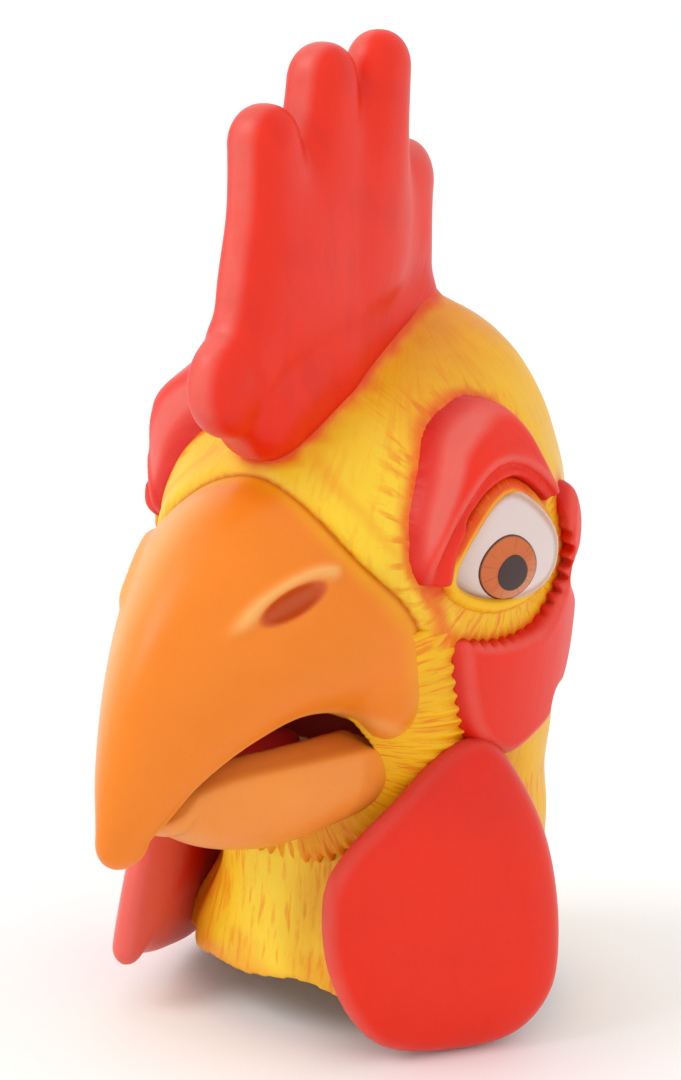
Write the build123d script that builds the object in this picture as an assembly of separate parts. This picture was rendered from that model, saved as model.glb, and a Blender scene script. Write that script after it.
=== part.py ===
"""Overhead latex rooster mask: hollow head, open beak, comb, wattles and eyes.

Frame: origin at the centre of the neck opening in the hem plane, +Z up,
beak towards -Y, the mask's own left side towards +X. Millimetres.
"""
from build123d import *
import os
from math import cos, radians, sin

# ---- driving dimensions ------------------------------------------------------
LATEX = 2.8              # wall of the cast latex head and beak
GLUE = 0.3               # glue line between pieces on one body
SKIN_CLEAR = 4.0         # head surface to the lower beak, shut and open
COMB_LATEX = 2.5         # wall of the comb's latex skin
COMB_THICK = 32.0        # comb, across X
COMB_EDGE = 5.0          # the slab stays inside the comb's rounded edge by this much
COMB_CLEAR = 2.6         # free space under the comb for its sway
WATTLE_THICK = 22.0
WATTLE_EDGE = 4.0        # the slab stays inside the wattle's rounded edge by this much
WATTLE_CLEAR = 5.0       # wattle to head surface, above the feather collar

# head outline by level: height, half width, front Y, rear Y
HEAD_LEVELS = [
    (0, 96, -93, 98),
    (35, 92, -90, 94),
    (75, 90, -90, 92),
    (110, 88, -94, 90),
    (150, 92, -110, 88),
    (190, 96, -126, 88),
    (235, 99, -136, 88),
    (262, 95, -130, 86),
    (283, 86, -113, 82),
    (303, 72, -80, 75),
    (322, 54, -42, 62),
    (336, 35, -14, 46),
    (346, 12, 6, 26),
]
CROWN_START = 250.0      # above this height a grown head also moves up
CROWN_RISE = 80.0        # and by the full amount after this much

# upper beak by section: centre Y, centre Z, tilt of the section from upright,
# half width, half height
UPPER_BEAK = [
    (-98, 207, 18, 74, 69),
    (-128, 204, 24, 65, 62),
    (-158, 190, 37, 50, 50),
    (-184, 166, 52, 35, 38),
    (-204, 139, 66, 22, 25),
    (-213, 122, 74, 14, 18),
    (-217, 108, 80, 9, 13),
]
# lower beak by section, same meaning
LOWER_BEAK = [
    (-104, 140, 0, 61, 52),
    (-132, 139, 0, 51, 51),
    (-160, 137, 0, 37, 41),
    (-184, 132, 0, 20, 23),
]
EGG = 0.22               # how much narrower a beak section is at its ridge
SECTION_CORNERS = 12     # points on a beak section's curve
BEAK_ROOT = 50.0         # how far the first section is carried straight back

JAW_PIVOT = (0, -95, 150)
JAW_OPEN = 10            # degrees
JAW_LAP = 3.0            # the head's chin hole is larger than the lower beak by this much

EYE_CENTRE = (66, -33, 234)
EYE_RADIUS = 38.0
EYE_YAW = 62                 # direction that an eye looks, from straight ahead
IRIS_DIAMETER = 34.0
PUPIL_DIAMETER = 18.0
EYE_SHELL = 2.5              # wall of the eye dome
PAINT = 0.6                  # thickness of the iris and pupil discs
LID_WIDTH = 8.0
LID_RAISE = 4.0              # lid's front above the head surface
LID_DEPTH = 84.0             # from the head's axis to the back of the lid
BROW_THICK = 14.0
BROW_SHIFT = (-4.0, 10.0)    # the right brow sits further forward and higher, as Y and Z
EAR_THICK = 11.0
COLLAR_THICK = 3.0

WATTLE_YAW_LEFT = 58         # direction that a wattle's face looks, from straight ahead
WATTLE_YAW_RIGHT = -74       # the right one hangs turned back further
WATTLE_PLANE = 102.0         # a wattle's mid plane from the head's axis

# outlines in side view, as (Y, Z), each closed by a smooth curve
COMB_OUTLINE = [
    (-118, 279), (-148, 290), (-168, 310), (-171, 334), (-152, 345),
    (-149, 370), (-152, 403), (-143, 434), (-125, 443), (-109, 434),
    (-104, 460), (-84, 474), (-66, 468), (-57, 468), (-38, 479),
    (-14, 458), (2, 427), (20, 408), (24, 380), (18, 350),
    (12, 330), (-27, 305), (-70, 285),
]
BROW_OUTLINE = [
    (-28, 308), (-12, 301), (-3, 284), (-3, 268), (-18, 264),
    (-50, 274), (-76, 262), (-88, 240), (-97, 236), (-92, 262), (-62, 294),
]
EAR_OUTLINE = [
    (-68, 194), (-44, 188), (-20, 194), (-6, 214), (4, 240), (14, 262),
    (23, 246), (20, 222), (28, 196), (22, 162), (4, 134), (-28, 134), (-52, 152),
]
COLLAR_OUTER = [(-72, 202), (-62, 176), (-52, 150), (-58, 124), (-70, 100), (-82, 78)]
COLLAR_INNER = [(-100, 78), (-92, 98), (-78, 122), (-76, 150), (-84, 180), (-92, 206)]
FEATHER_TIPS = 4             # feather points between two corners of the collar
FEATHER_DEPTH = 3.0

# the left eye opening seen square on: across, height
EYE_OUTLINE = [(-31, 226), (-22, 249), (3, 266), (28, 246), (25, 223), (-4, 215)]
# the left wattle seen square on: across, height
WATTLE_OUTLINE = [
    (-74, 64), (-63, 84), (-40, 108), (-14, 130), (12, 134), (36, 110), (51, 76),
    (59, 40), (57, 10), (36, -11), (4, -18), (-35, -13), (-57, 6), (-71, 36),
]
# the right wattle seen square on; its lower tip is swept forward, which is +across here
WATTLE_OUTLINE_RIGHT = [
    (74, 58), (92, 36), (96, 14), (76, 0), (30, -12), (-12, -12), (-34, 8),
    (-42, 40), (-40, 76), (-30, 108), (-8, 130), (18, 128), (40, 106), (56, 80),
]
UPPER_LIP = [
    (-30, 144), (-84, 148), (-100, 156), (-120, 167), (-138, 170),
    (-158, 165), (-176, 152), (-190, 137), (-200, 120), (-206, 90), (-30, 90),
]
LOWER_LIP = [
    (-30, 141), (-96, 145), (-132, 148), (-165, 142), (-186, 131),
    (-200, 124), (-200, 220), (-30, 220),
]
# thin skins that close the beak halves, upper face then lower face
PALATE = [
    (-62, 175), (-100, 179), (-140, 184), (-174, 163),
    (-172, 160), (-140, 180), (-100, 176), (-62, 172),
]
MOUTH_FLOOR = [
    (-70, 121), (-100, 121), (-150, 125), (-174, 133),
    (-174, 130), (-150, 122), (-100, 118), (-70, 118),
]
TONGUE_CENTRE = (0, -122, 126)
TONGUE_RADII = (18, 38, 12)

# ---- room for the cutting blocks, larger than the mask ------------------------
SIDE_REACH = 160.0
EYE_NEAR = 40.0              # an eye block's start, from the head's axis
EYE_REACH = 110.0            # and its length
ALL_ROUND = 600.0
BELOW_HEM = -30.0


# ---- helpers -----------------------------------------------------------------
def smooth_face(points, inset=0):
    """A face inside the smooth closed curve through clockwise points, moved in by inset."""
    moved = []
    for before, point, after in zip(points[-1:] + points, points, points[1:] + points[:1]):
        along = Vector(after[0] - before[0], after[1] - before[1], 0).normalized()
        moved.append((point[0] + inset * along.Y, point[1] - inset * along.X))
    return make_face(Spline(*moved, periodic=True))


def side_prism(face, low_x, high_x):
    """Extrude a side-view (Y, Z) face from low_x to high_x."""
    side_plane = Plane(origin=(low_x, 0, 0), x_dir=(0, 1, 0), z_dir=(1, 0, 0))
    return extrude(side_plane * face, high_x - low_x)


def facing_plane(yaw, distance):
    """Upright plane whose normal looks yaw degrees to the left of straight ahead."""
    normal = Vector(sin(radians(yaw)), -cos(radians(yaw)), 0)
    across = Vector(cos(radians(yaw)), sin(radians(yaw)), 0)
    return Plane(origin=normal * distance, x_dir=across, z_dir=normal)


def head(grow):
    """The head's outer volume, moved out by grow; it runs below the hem."""
    sections = []
    for z, half_width, front, rear in [(BELOW_HEM, *HEAD_LEVELS[0][1:])] + HEAD_LEVELS:
        lift = grow * min(1, max(0, (z - CROWN_START) / CROWN_RISE))
        middle = Plane(origin=(0, (front + rear) / 2, z + lift))
        sections.append(middle * Ellipse(half_width + grow, (rear - front) / 2 + grow))
    return loft(sections)


def beak_section(centre_y, centre_z, tilt, half_width, half_height, inset):
    """Egg section of a beak, narrow at the ridge, with its wall taken off by inset."""
    angle = radians(tilt)
    plane = Plane(origin=(0, centre_y, centre_z), x_dir=(1, 0, 0), z_dir=(0, -cos(angle), -sin(angle)))
    points = []
    for step in range(SECTION_CORNERS):
        turn = radians(360 / SECTION_CORNERS * step)
        across = (half_width - inset) * cos(turn) * (1 - EGG * sin(turn))
        points.append((across, (half_height - inset) * sin(turn)))
    return plane * smooth_face(points)


def horn(sections, inset):
    """Loft of beak sections; the first one is repeated further back, in the head."""
    centre_y, centre_z, tilt, half_width, half_height = sections[0]
    rear = (centre_y + BEAK_ROOT, centre_z, 0, half_width, half_height)
    return loft([beak_section(*section, inset) for section in [rear] + sections])


def cut_from(solid, *tools):
    """Take each tool away from the solid and keep the biggest piece left."""
    for tool in tools:
        solid = solid - tool
    return solid.solids().sort_by(SortBy.VOLUME)[-1]


def save(node, shape):
    shape.label = node
    export_step(shape, f"parts/{node}.step")


def save_pair(name, left):
    """Write the left piece and its mirror image."""
    save(f"{name}_left", left)
    save(f"{name}_right", mirror(left, about=Plane.YZ))


os.makedirs("parts", exist_ok=True)
above_hem = Pos(0, 0, ALL_ROUND / 2) * Box(ALL_ROUND, ALL_ROUND, ALL_ROUND)
head_outer = head(0)
head_inner = head(-LATEX)
glue_face = head(GLUE)


def relief(face, thickness, *tools):
    """A left-side patch of the given thickness laid on the head."""
    block = side_prism(face, GLUE, SIDE_REACH) & head(GLUE + thickness)
    return cut_from(block, glue_face, *tools)


# ---- eyes --------------------------------------------------------------------
eye_face = smooth_face(EYE_OUTLINE)
lid_face = smooth_face(EYE_OUTLINE, -LID_WIDTH)
eye_prism = extrude(facing_plane(EYE_YAW, EYE_NEAR) * eye_face, EYE_REACH)
lid_prism = extrude(facing_plane(EYE_YAW, EYE_NEAR) * lid_face, EYE_REACH)
lid_block = extrude(facing_plane(EYE_YAW, LID_DEPTH) * lid_face, EYE_REACH - (LID_DEPTH - EYE_NEAR))


def eye_ball(grow):
    return Pos(*EYE_CENTRE) * Sphere(EYE_RADIUS + grow)


def gaze(diameter):
    """Round prism along the direction in which the eye looks."""
    facing = facing_plane(EYE_YAW, 0)
    start = Plane(origin=EYE_CENTRE, x_dir=facing.x_dir, z_dir=facing.z_dir)
    return extrude(start * Circle(diameter / 2), 2 * EYE_RADIUS)


save_pair("eyelid", cut_from(lid_block & head(LID_RAISE), eye_prism))
save_pair("eye_shell", cut_from(eye_ball(0) & eye_prism, eye_ball(-EYE_SHELL)))
save_pair("iris", cut_from(eye_ball(PAINT) & gaze(IRIS_DIAMETER), eye_ball(0)))
save_pair("pupil", cut_from(eye_ball(2 * PAINT) & gaze(PUPIL_DIAMETER), eye_ball(PAINT)))

# ---- beak --------------------------------------------------------------------
def full_width(points):
    """Prism right across the mask with straight-sided (Y, Z) corners."""
    return side_prism(make_face(Polyline(*points, close=True)), -SIDE_REACH, SIDE_REACH)


under_upper_lip = full_width(UPPER_LIP)
over_lower_lip = full_width(LOWER_LIP)
horn_outer = horn(UPPER_BEAK, 0)
horn_inner = horn(UPPER_BEAK[:-1], LATEX)
save("upper_beak", cut_from(horn_outer, horn_inner, head_outer, under_upper_lip))

scoop_outer = horn(LOWER_BEAK, 0)
scoop_inner = horn(LOWER_BEAK[:-1], LATEX)
jaw_axis = Axis(JAW_PIVOT, (1, 0, 0))
head_clear = head(GLUE + SKIN_CLEAR)
head_seen_open = head_clear.rotate(jaw_axis, -JAW_OPEN)
save("lower_beak", cut_from(scoop_outer, scoop_inner, over_lower_lip, head_clear, head_seen_open))

save("palate", full_width(PALATE) & horn(UPPER_BEAK[:-1], LATEX + GLUE))
save("mouth_floor", full_width(MOUTH_FLOOR) & horn(LOWER_BEAK[:-1], LATEX + GLUE))
below_floor = full_width(MOUTH_FLOOR[:4] + [(-174, 60), (-70, 60)])
tongue_ball = Pos(*TONGUE_CENTRE) * scale(Sphere(1), TONGUE_RADII)
save("tongue", cut_from(tongue_ball, below_floor))

# ---- head --------------------------------------------------------------------
jaw_room = horn(LOWER_BEAK, -JAW_LAP)
right_lid_prism = mirror(lid_prism, about=Plane.YZ)
head_wall = (head_outer - head_inner) & above_hem
save("head_skin", cut_from(head_wall, lid_prism, right_lid_prism, horn_inner, jaw_room))

save("brow_left", relief(smooth_face(BROW_OUTLINE), BROW_THICK, lid_prism))
raised_brow = [(y + BROW_SHIFT[0], z + BROW_SHIFT[1]) for y, z in BROW_OUTLINE]
brow_right = relief(smooth_face(raised_brow), BROW_THICK, lid_prism)
save("brow_right", mirror(brow_right, about=Plane.YZ))
ear_patch = relief(smooth_face(EAR_OUTLINE), EAR_THICK, lid_prism)
save_pair("ear_patch", ear_patch)


def feather_edge(corners):
    """The collar's outer edge: shallow feather points between the corners."""
    points = []
    for (start_y, start_z), (end_y, end_z) in zip(corners, corners[1:]):
        for tip in range(2 * FEATHER_TIPS):
            share = tip / (2 * FEATHER_TIPS)
            out = FEATHER_DEPTH * (tip % 2)
            points.append((start_y + share * (end_y - start_y) + out, start_z + share * (end_z - start_z)))
    return points + [corners[-1]]


collar_face = make_face(Polyline(*(feather_edge(COLLAR_OUTER) + COLLAR_INNER), close=True))
save_pair("feather_collar", relief(collar_face, COLLAR_THICK, lid_prism, jaw_room, horn_outer, ear_patch))

# ---- comb --------------------------------------------------------------------
def comb_volume(inset):
    face = smooth_face(COMB_OUTLINE, COMB_EDGE + inset)
    thick = COMB_THICK - 2 * inset
    block = side_prism(face, -thick / 2, thick / 2)
    return cut_from(block, head(COMB_CLEAR + inset))


save("comb_skin", cut_from(comb_volume(0), comb_volume(COMB_LATEX)))
save("comb_foam", comb_volume(COMB_LATEX + GLUE))

# ---- wattles -----------------------------------------------------------------
def wattle_volume(outline, yaw, inset):
    face = smooth_face(outline, WATTLE_EDGE + inset)
    thick = WATTLE_THICK - 2 * inset
    block = extrude(facing_plane(yaw, WATTLE_PLANE - thick / 2) * face, thick)
    return cut_from(block, head(WATTLE_CLEAR + inset))


def wattle(outline, yaw):
    return cut_from(wattle_volume(outline, yaw, 0), wattle_volume(outline, yaw, COMB_LATEX))


save("wattle_left", wattle(WATTLE_OUTLINE, WATTLE_YAW_LEFT))
save("wattle_right", wattle(WATTLE_OUTLINE_RIGHT, WATTLE_YAW_RIGHT))
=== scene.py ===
"""Looks of the latex rooster head mask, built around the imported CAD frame.

Shapes are signed distance fields in millimetres, turned into closed meshes and
then into metres. The mask's own left side is +X and its beak points to -Y.
"""
import math
from functools import partial
import bpy
import numpy as np
import openvdb
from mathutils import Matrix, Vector


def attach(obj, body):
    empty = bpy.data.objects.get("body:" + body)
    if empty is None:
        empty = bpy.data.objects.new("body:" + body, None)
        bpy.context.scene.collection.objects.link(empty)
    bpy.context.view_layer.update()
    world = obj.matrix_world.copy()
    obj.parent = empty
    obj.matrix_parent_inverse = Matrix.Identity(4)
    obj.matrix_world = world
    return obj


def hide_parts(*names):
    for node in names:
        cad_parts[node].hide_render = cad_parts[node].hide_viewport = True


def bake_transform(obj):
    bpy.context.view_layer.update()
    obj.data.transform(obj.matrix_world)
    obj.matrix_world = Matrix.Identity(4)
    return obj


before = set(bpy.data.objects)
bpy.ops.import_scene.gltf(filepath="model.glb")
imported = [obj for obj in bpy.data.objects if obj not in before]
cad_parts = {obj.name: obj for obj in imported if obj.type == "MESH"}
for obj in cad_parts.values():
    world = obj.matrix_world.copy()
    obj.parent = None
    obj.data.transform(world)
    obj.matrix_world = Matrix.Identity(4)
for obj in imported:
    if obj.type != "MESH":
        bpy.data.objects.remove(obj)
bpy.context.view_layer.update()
scene = bpy.context.scene

# ---- driving sizes, millimetres ----------------------------------------------
LATEX = 3.0                  # wall of the head and the beak
SKIN_STEP = 1.8              # mesh size of the head
FINE_STEP = 1.3              # mesh size of the smaller pieces
FEATHER_STEP = 1.1           # mesh size of the collars and the eyelids
EYE_STEP = 1.2
WATTLE_STEP = 1.5
CORE_STEP = 2.4              # mesh size of the hidden foam

# head outline by level: height, half width, front Y, rear Y
HEAD_LEVELS = [
    (-40, 96, -93, 98), (0, 96, -93, 98), (35, 92, -90, 94), (75, 90, -90, 92),
    (110, 88, -94, 90), (150, 92, -110, 88), (190, 96, -126, 88), (235, 99, -136, 88),
    (262, 94, -130, 86), (283, 84, -113, 82), (303, 70, -80, 75), (322, 54, -42, 62),
    (336, 35, -14, 46), (346, 12, 6, 26),
]
CROWN = 347.5

# beak by section: centre Y, centre Z, tilt from upright, half width, half height
UPPER_BEAK = [
    (-98, 207, 18, 74, 69), (-128, 204, 24, 65, 62), (-158, 190, 37, 50, 50),
    (-184, 166, 52, 35, 38), (-204, 139, 66, 22, 25), (-213, 122, 74, 14, 18),
    (-216.5, 116, 78, 11, 15),
]
LOWER_BEAK = [
    (-104, 140, 0, 56, 48), (-132, 139, 0, 49, 48.5), (-160, 137, 0, 37, 40),
    (-184, 132, 0, 20, 23),
]
BEAK_ROOT = 50.0             # how far a beak runs straight back from its first section
EGG = 0.22                   # how much narrower a section is at the ridge

# side-view outlines, as (Y, Z)
UPPER_LIP = [
    (-30, 146), (-84, 150), (-100, 156), (-120, 163), (-140, 164), (-158, 158),
    (-176, 149), (-192, 137), (-200, 122), (-207, 112), (-206, 90), (-150, 60), (-30, 90),
]
LOWER_LIP = [
    (-30, 143), (-84, 146), (-98, 148), (-132, 148), (-165, 145), (-186, 138),
    (-204, 130), (-220, 200), (-120, 240), (-30, 220),
]
BROW = [
    (-85, 221), (-83, 239), (-78, 249), (-75, 256), (-67, 263), (-61, 267), (-50, 271),
    (-37, 272), (-23, 264), (-13, 258), (-7, 264), (-11, 280), (-15, 295), (-22, 305),
    (-35, 308), (-50, 303), (-61, 298), (-73, 290), (-85, 277), (-94, 264), (-99, 252), (-100, 236),
    (-94, 224),
]
BROW_RIGHT = [
    (-82, 236), (-76, 262), (-64, 278), (-48, 286), (-24, 282), (-8, 292), (-10, 316),
    (-24, 336), (-44, 345), (-66, 340), (-82, 322), (-91, 294), (-95, 262), (-93, 236),
]
EAR = [
    (-77, 199), (-68, 198), (-54, 196), (-36, 196), (-20, 199), (-10, 208), (-4, 220), (-3, 238),
    (5, 258), (16, 264), (25, 248), (21, 230), (9, 219), (26, 204), (27, 178), (18, 160), (8, 156),
    (5, 144), (-10, 137), (-28, 131), (-44, 136), (-58, 150), (-70, 174),
]

# eye: local frame at the eye, looking 62 degrees to the side
EYE_YAW = math.radians(62)
EYE_FRONT = np.array([99.6, -50.8, 236.0])
EYE_AXES = (46.0, 42.0, 24.0)
EYE_OUTLINE = [(-31, -10), (-22, 13), (3, 30), (28, 10), (25, -13), (-4, -21)]

# comb: each finger from (X, Y, Z) to (X, Y, Z), radius and half thickness at its two ends
FINGERS = [
    ((0, -141, 319), (0, -146, 317), 27.5, 25.5, 17, 15),
    ((0, -109, 352), (0, -128, 426), 39, 18.5, 16, 15),
    ((0, -78, 360), (0, -83, 454), 46, 18.5, 16, 15),
    ((3, -44, 372), (5, -43, 461), 28, 18, 15, 14),
    ((-3, -9, 356), (-5, -1, 403), 31, 23, 14, 12.5),
    ((0, -120, 299), (0, -80, 312), 21, 26, 21, 19),
    ((0, -70, 316), (0, 4, 338), 24, 20, 17, 13),
]
PALM = ((0, -98, 352), (0, -52, 386), 48, 45, 16.5, 14.5)

WATTLE_LEFT = [
    (-74, 70), (-64, 91), (-42, 112), (-12, 140), (12, 142), (36, 111), (50, 78),
    (57, 40), (55, 8), (36, -13), (4, -18), (-35, -13), (-57, 6), (-71, 36),
]
WATTLE_RIGHT = [
    (78, 62), (88, 42), (96, 22), (99, 10), (93, 4), (80, 5), (50, -3), (-2, -10), (-36, 8),
    (-46, 40), (-44, 78), (-32, 112), (-8, 138), (22, 136), (46, 110), (63, 84),
]
WATTLE_YAW = {"left": math.radians(58), "right": math.radians(-74)}
WATTLE_PLANE = 101.0         # how far a wattle's plane is from the head's axis
WATTLE_HALF = 12.0           # half thickness in the middle
WATTLE_ROUND = 26.0          # how far its round edge runs in


# ---- curves and distances -----------------------------------------------------
def smooth_curve(points, closed=True, per_span=6):
    """Catmull-Rom curve through the points."""
    points = np.array(points, float)
    if closed:
        ring = np.vstack([points[-1:], points, points[:2]])
    else:
        ring = np.vstack([2 * points[0] - points[1], points, 2 * points[-1] - points[-2]])
    made = []
    for a, b, c, d in zip(ring, ring[1:], ring[2:], ring[3:]):
        for t in np.arange(per_span) / per_span:
            made.append(0.5 * (2 * b + (c - a) * t + (2 * a - 5 * b + 4 * c - d) * t**2
                               + (3 * b - a - 3 * c + d) * t**3))
    if not closed:
        made.append(points[-1])
    return np.array(made)


def outline_distance(curve, u, v):
    """Signed distance in a plane to a closed curve, negative inside."""
    u, v = np.broadcast_arrays(u, v)
    nearest = np.full(u.shape, 1e9)
    inside = np.zeros(u.shape, bool)
    for (au, av), (bu, bv) in zip(curve, np.roll(curve, -1, 0)):
        eu, ev = bu - au, bv - av
        share = np.clip(((u - au) * eu + (v - av) * ev) / (eu * eu + ev * ev + 1e-9), 0, 1)
        nearest = np.minimum(nearest, (u - au - share * eu) ** 2 + (v - av - share * ev) ** 2)
        if av != bv:
            inside ^= ((av > v) != (bv > v)) & (u < eu * (v - av) / ev + au)
    distance = np.sqrt(nearest)
    return np.where(inside, -distance, distance)


def join(a, b, soft):
    """Smooth union of two fields."""
    h = np.clip(0.5 + 0.5 * (b - a) / soft, 0, 1)
    return b + (a - b) * h - soft * h * (1 - h)


def cut(a, b, soft=0.5):
    """Field a without the inside of field b, with a softened edge."""
    return -join(-a, b, soft)


def keep(a, b, soft=0.5):
    """The part of field a that is inside field b."""
    return -join(-a, -b, soft)


def smoothstep(low, high, value):
    t = np.clip((value - low) / (high - low), 0, 1)
    return t * t * (3 - 2 * t)


def level_table():
    """Head radii by height, from the levels; the squares are smoothed, so the crown closes round."""
    levels = np.array(HEAD_LEVELS + [(CROWN, 0, 16, 16)], float)
    middle = (levels[:, 2] + levels[:, 3]) / 2
    depth = (levels[:, 3] - levels[:, 2]) / 2
    rows = np.column_stack([levels[:, 0], levels[:, 1] ** 2, middle, depth**2])
    return smooth_curve(rows, closed=False, per_span=12)


LEVELS = level_table()
HALF_WIDTH = np.sqrt(np.clip(LEVELS[:, 1], 1, None))
HALF_DEPTH = np.sqrt(np.clip(LEVELS[:, 3], 1, None))
SLOPE = np.clip(np.abs(np.gradient(HALF_WIDTH, LEVELS[:, 0])), 0, 4)


def head_field(x, y, z):
    """Rough distance to the plain head, without its relief."""
    width = np.interp(z, LEVELS[:, 0], HALF_WIDTH)
    depth = np.interp(z, LEVELS[:, 0], HALF_DEPTH)
    middle = np.interp(z, LEVELS[:, 0], LEVELS[:, 2])
    slope = np.interp(z, LEVELS[:, 0], SLOPE)
    radius = np.sqrt(x**2 + (y - middle) ** 2) + 1e-6
    size = np.sqrt((x / width) ** 2 + ((y - middle) / depth) ** 2) + 1e-6
    distance = radius * (1 - 1 / size) / np.sqrt(1 + slope**2)
    return np.maximum(distance, z - CROWN)


def section_frame(rows, y, z):
    """How far a point is in front of each given section's plane, and how far up along it."""
    angle = np.radians(rows[..., 2])
    dy, dz = y - rows[..., 0], z - rows[..., 1]
    ahead = -dy * np.cos(angle) - dz * np.sin(angle)
    return ahead, -dy * np.sin(angle) + dz * np.cos(angle)


def horn_field(sections, x, y, z):
    """Rough distance to a beak lofted through its sections, which runs straight back from the first."""
    y, z = np.broadcast_arrays(y, z)
    rows = smooth_curve(sections, closed=False, per_span=16)
    best = np.full(y.shape, 1e9)
    nearest = np.zeros(y.shape, int)
    for index, row in enumerate(rows):
        ahead, up = section_frame(row, y, z)
        score = np.abs(ahead) + 0.02 * np.abs(up)
        nearest = np.where(score < best, index, nearest)
        best = np.minimum(best, score)
    ahead, _ = section_frame(rows[nearest], y, z)
    beside = np.clip(nearest + np.where(ahead > 0, 1, -1), 0, len(rows) - 1)
    ahead_beside, _ = section_frame(rows[beside], y, z)
    gap = np.where(np.abs(ahead - ahead_beside) < 1e-6, 1e9, ahead - ahead_beside)
    share = np.clip(ahead / gap, 0, 1)[..., None]
    here = rows[nearest] * (1 - share) + rows[beside] * share
    _, up = section_frame(here, y, z)
    past_tip = np.maximum(0, ahead) * (nearest == len(rows) - 1)
    width, height = here[..., 3], here[..., 4]
    rise = np.clip(up / height, -1, 1)
    across = x * height / (width * (1 - EGG * rise))
    radius = np.hypot(np.hypot(across, up), past_tip) + 1e-6
    field = (radius - height) * np.minimum(width / height, 1)
    return np.maximum(field, y - (sections[0][0] + BEAK_ROOT))


def eye_frame(side, x, y, z):
    """Position in the eye's frame: backwards along the head, up, and out of the eye."""
    across = np.array([math.cos(EYE_YAW), math.sin(EYE_YAW)])
    out = np.array([math.sin(EYE_YAW), -math.cos(EYE_YAW)])
    dx, dy = side * x - EYE_FRONT[0], y - EYE_FRONT[1]
    return dx * across[0] + dy * across[1], z - EYE_FRONT[2], dx * out[0] + dy * out[1]


EYE_CURVE = smooth_curve(EYE_OUTLINE)


def eye_opening(side, x, y, z):
    """Distance outside an eye's opening, then the position in the eye's frame."""
    u, v, w = eye_frame(side, x, y, z)
    return outline_distance(EYE_CURVE, u, v), u, v, w


def wattle_frame(word, x, y, z):
    """Position in the left or right wattle's plane: across, up, and out of it."""
    yaw = WATTLE_YAW[word]
    out = x * math.sin(yaw) - y * math.cos(yaw) - WATTLE_PLANE
    across = x * math.cos(yaw) + y * math.sin(yaw)
    return across, z, out


WATTLE_CURVE = {"left": smooth_curve(WATTLE_LEFT), "right": smooth_curve(WATTLE_RIGHT)}


def wattle_field(word, x, y, z):
    """A flat teardrop flap with a full round edge."""
    u, v, w = wattle_frame(word, x, y, z)
    edge = outline_distance(WATTLE_CURVE[word], u, v)
    inside = np.clip(-edge / WATTLE_ROUND, 0, 1)
    half = WATTLE_HALF * np.sqrt(np.clip(1 - (1 - inside) ** 2, 0, 1))
    face = np.abs(w) - half
    return np.where(edge < 0, np.maximum(face, edge), np.hypot(edge, w))


def comb_skin(x, y, z):
    """Fingers with full oval sections that run together into a palm and a broad foot."""
    field = None
    for finger_row in [PALM] + FINGERS:
        (ax, ay, az), (bx, by, bz), start_r, end_r, start_half, end_half = finger_row
        power = 3.2 if finger_row is PALM else 2.3
        ey, ez = by - ay, bz - az
        share = np.clip(((y - ay) * ey + (z - az) * ez) / (ey * ey + ez * ez), 0, 1)
        eased = 0.7 * share + 0.3 * share * share * (3 - 2 * share)
        radius = start_r + (end_r - start_r) * eased
        half = start_half + (end_half - start_half) * eased
        axis = np.hypot(y - ay - share * ey, z - az - share * ez)
        aside = np.abs(x - ax - (bx - ax) * eased)
        size = ((axis / radius) ** power + (aside / half) ** power) ** (1 / power)
        finger = (size - 1) * np.minimum(radius, half)
        field = finger if field is None else join(field, finger, 6.5)
    return field


def patch_field(side, curve, height, rounding, x, y, z):
    """A cushion-shaped patch laid on one side of the head, drawn in side view."""
    edge = outline_distance(curve, y, z)
    inside = np.clip(-edge / rounding, 0, 1)
    bulge = height * np.sqrt(np.clip(1 - (1 - inside) ** 2, 0, 1))
    field = np.maximum(head_field(x, y, z) - bulge, edge)
    return np.maximum(field, 12 - side * x)


BROW_CURVE = {1: smooth_curve(BROW), -1: smooth_curve(BROW_RIGHT)}
EAR_CURVE = smooth_curve(EAR)
EAR_TOOTH = 5.4
EYE_TURN = 36.0              # millimetres round an eye in one radian
FOLD_REACH = 13.0            # the fold in a brow, from the eye opening
BROW_HEIGHT = {1: 9.0, -1: 13.0}
BROW_TOP_HEIGHT = {1: 9.0, -1: 30.0}      # the right brow bulges more towards its top
BROW_ROUND = {1: 8.0, -1: 18.0}


def brow_field(side, x, y, z):
    """Brow cushion; a fold in it follows the eye."""
    height = BROW_HEIGHT[side] + (BROW_TOP_HEIGHT[side] - BROW_HEIGHT[side]) * smoothstep(250, 300, z)
    height = height * (0.25 + 0.75 * smoothstep(22, 66, np.abs(x)))
    field = patch_field(side, BROW_CURVE[side], height, BROW_ROUND[side], x, y, z)
    fold = eye_opening(side, x, y, z)[0] - FOLD_REACH
    return field + 2.4 * np.exp(-((fold / 1.6) ** 2)) - 1.4 * np.exp(-(((fold - 3.6) / 2.2) ** 2))


def ear_field(side, x, y, z):
    """Cheek and ear cushion, overlapped by pointed feathers on the side towards the eye."""
    field = patch_field(side, EAR_CURVE, 9.0, 8, x, y, z)
    edge, u, v, _ = eye_opening(side, x, y, z)
    share = (np.arctan2(v, u) * EYE_TURN / EAR_TOOTH) % 1
    tooth = np.minimum(share / 0.65, (1 - share) / 0.35)
    rim = 17.0 + (2.0 + 4.5 * smoothstep(12, -8, v)) * tooth - edge
    return cut(field, -rim, 1.0)


# ---- meshes -------------------------------------------------------------------
def neighbours_mean(points, edges, count):
    total = np.zeros_like(points)
    for a, b in ((0, 1), (1, 0)):
        for k in range(3):
            total[:, k] += np.bincount(edges[:, a], points[edges[:, b], k], len(points))
    return total / count[:, None]


def quad_edges(quads):
    pairs = np.vstack([quads[:, [0, 1]], quads[:, [1, 2]], quads[:, [2, 3]], quads[:, [3, 0]]])
    return np.unique(np.sort(pairs, 1), axis=0)


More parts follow.
